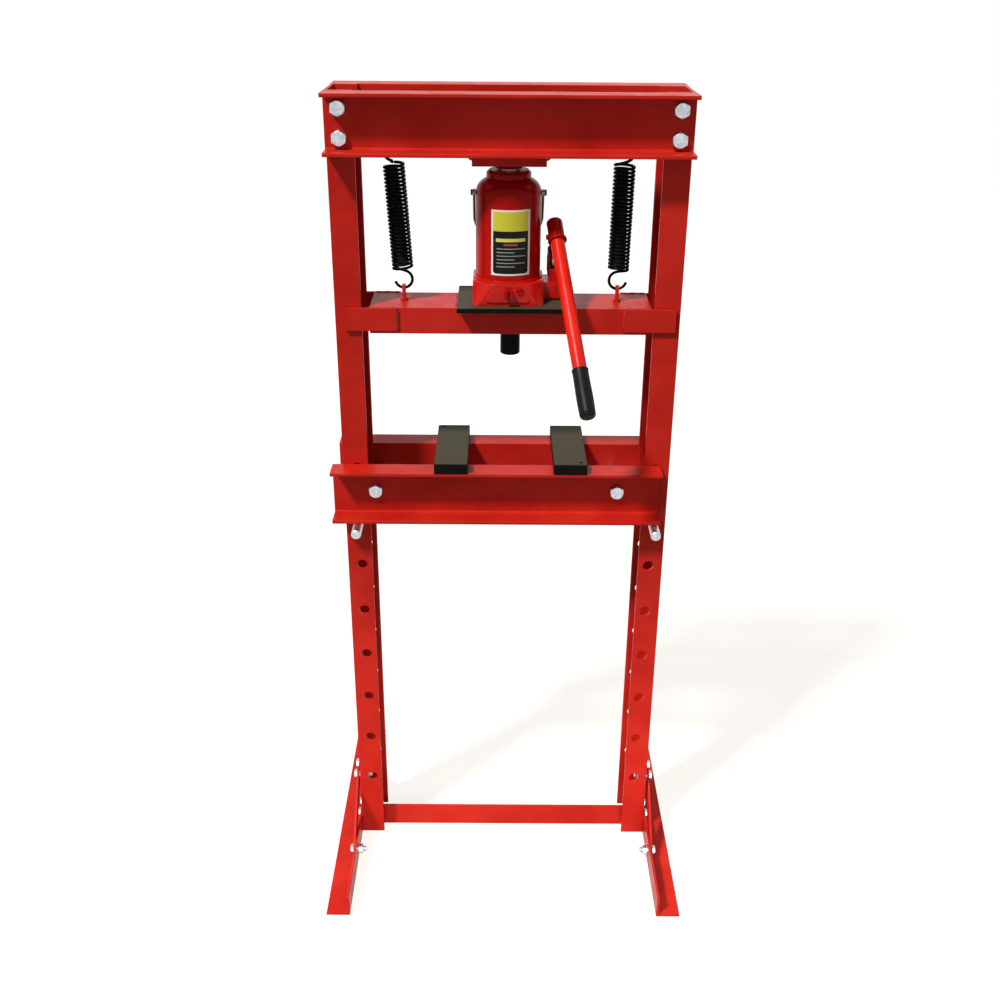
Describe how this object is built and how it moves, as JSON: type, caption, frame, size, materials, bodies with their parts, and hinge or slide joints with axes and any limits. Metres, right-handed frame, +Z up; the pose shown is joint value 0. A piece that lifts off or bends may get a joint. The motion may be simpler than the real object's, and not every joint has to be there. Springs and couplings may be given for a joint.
{
  "type": "hydraulic shop press",
  "caption": "H-frame shop press: bolted channel frame, pinned height-adjustable bed, and a spring-returned pressing beam driven by a bottle jack.",
  "frame": {"origin": "on the floor, under the middle of the feet", "axes": "+X to the right, +Y to the rear, +Z up; the handle is at the front right"},
  "size_m": [0.69, 0.595, 1.5],
  "materials": {
    "frame_enamel": "gloss red enamel on rolled steel",
    "jack_enamel": "gloss red enamel on cast iron and tube",
    "handle_enamel": "gloss bright red enamel on steel tube",
    "zinc_plate": "bright zinc plate",
    "black_paint": "satin black paint on steel plate",
    "ground_steel": "ground and oiled steel",
    "spring_steel": "black coated spring wire",
    "bail_wire": "dulled bright steel wire",
    "grip_rubber": "smooth moulded black rubber",
    "seal_rubber": "black rubber",
    "label_film": "printed film, plain yellow and black panels"
  },
  "bodies": {
    "frame": {"head_channel_front": "frame_enamel", "head_channel_rear": "frame_enamel", "head_bolts": "zinc_plate", "head_nuts": "zinc_plate", "head_washers": "zinc_plate", "jack_seat_plate": "frame_enamel", "spring_hangers": "frame_enamel", "post_left": "frame_enamel", "post_right": "frame_enamel", "foot_left": "frame_enamel", "foot_right": "frame_enamel", "braces_left": "frame_enamel", "braces_right": "frame_enamel", "brace_spacers": "zinc_plate", "base_cross_member": "frame_enamel", "base_bolts": "zinc_plate", "base_nuts": "zinc_plate", "base_washers": "zinc_plate", "jack_ram": "ground_steel", "piston_seal": "seal_rubber", "extension_screw": "ground_steel", "spring_left": "spring_steel", "spring_right": "spring_steel"},
    "bed": {"bed_channel_front": "frame_enamel", "bed_channel_rear": "frame_enamel", "bed_spacers": "zinc_plate", "bed_bolts": "zinc_plate", "bed_nuts": "zinc_plate", "bed_washers": "zinc_plate"},
    "pin_left": {"bed_pin_left": "zinc_plate"},
    "pin_right": {"bed_pin_right": "zinc_plate"},
    "plate_left": {"arbor_plate_left": "black_paint"},
    "plate_right": {"arbor_plate_right": "black_paint"},
    "beam": {"press_beam": "frame_enamel", "guide_straps": "frame_enamel", "jack_base_plate": "black_paint", "press_pin": "black_paint", "spring_eyes": "frame_enamel", "spring_eye_nuts": "zinc_plate", "jack_base": "jack_enamel", "jack_cylinder": "ground_steel", "jack_reservoir": "jack_enamel", "jack_top_nut": "jack_enamel", "gland_seal": "seal_rubber", "filler_plug": "seal_rubber", "relief_plug": "jack_enamel", "valve_balls": "ground_steel", "bail_screws": "jack_enamel", "jack_label": "label_film", "pump_barrel": "jack_enamel", "pump_links": "jack_enamel", "link_pins": "jack_enamel"},
    "release": {"release_valve": "jack_enamel"},
    "plunger": {"pump_plunger": "ground_steel"},
    "lever": {"handle_socket": "jack_enamel", "lever_pin": "zinc_plate", "handle_screw": "jack_enamel"},
    "handle": {"handle_tube": "handle_enamel", "handle_grip": "grip_rubber"},
    "bail": {"carry_bail": "bail_wire"}
  },
  "joints": [
    {"name": "beam_press", "type": "slide", "parent": "frame", "child": "beam", "axis": [0, 0, 1], "range_m": [-0.175, 0], "stiffness_N_per_m": 3000, "springref_m": 0.12, "deforming": ["spring_left", "spring_right"]},
    {"name": "bed_height", "type": "slide", "parent": "frame", "child": "bed", "axis": [0, 0, 1], "range_m": [-0.5, 0.1]},
    {"name": "pin_left_pull", "type": "slide", "parent": "bed", "child": "pin_left", "axis": [0, -1, 0], "range_m": [0, 0.23]},
    {"name": "pin_right_pull", "type": "slide", "parent": "bed", "child": "pin_right", "axis": [0, -1, 0], "range_m": [0, 0.23]},
    {"name": "plate_left_slide", "type": "slide", "parent": "bed", "child": "plate_left", "axis": [1, 0, 0], "range_m": [-0.12, 0.065]},
    {"name": "plate_right_slide", "type": "slide", "parent": "bed", "child": "plate_right", "axis": [1, 0, 0], "range_m": [-0.08, 0.105]},
    {"name": "handle_pump", "type": "hinge", "parent": "beam", "child": "lever", "pos_m": [0.07929, 0.01038, 1.2304], "axis": [-0.9803, -0.1977, 0], "range_deg": [0, 60]},
    {"name": "plunger_stroke", "type": "slide", "parent": "beam", "child": "plunger", "axis": [0, 0, 1], "range_m": [0, 0.0242]},
    {"name": "handle_pull", "type": "slide", "parent": "lever", "child": "handle", "axis": [0.1398, -0.6932, -0.7071], "range_m": [0, 0.04]},
    {"name": "release_turn", "type": "hinge", "parent": "beam", "child": "release", "pos_m": [0.001, -0.0667, 1.1754], "axis": [0, -1, 0], "range_deg": [0, 360]},
    {"name": "bail_swing", "type": "hinge", "parent": "beam", "child": "bail", "pos_m": [0, 0, 1.3324], "axis": [1, 0, 0], "range_deg": [0, 80]}
  ],
  "couplings": [
    {"joint": "plunger_stroke", "follows": "handle_pump", "m_per_rad": 0.022918}
  ]
}
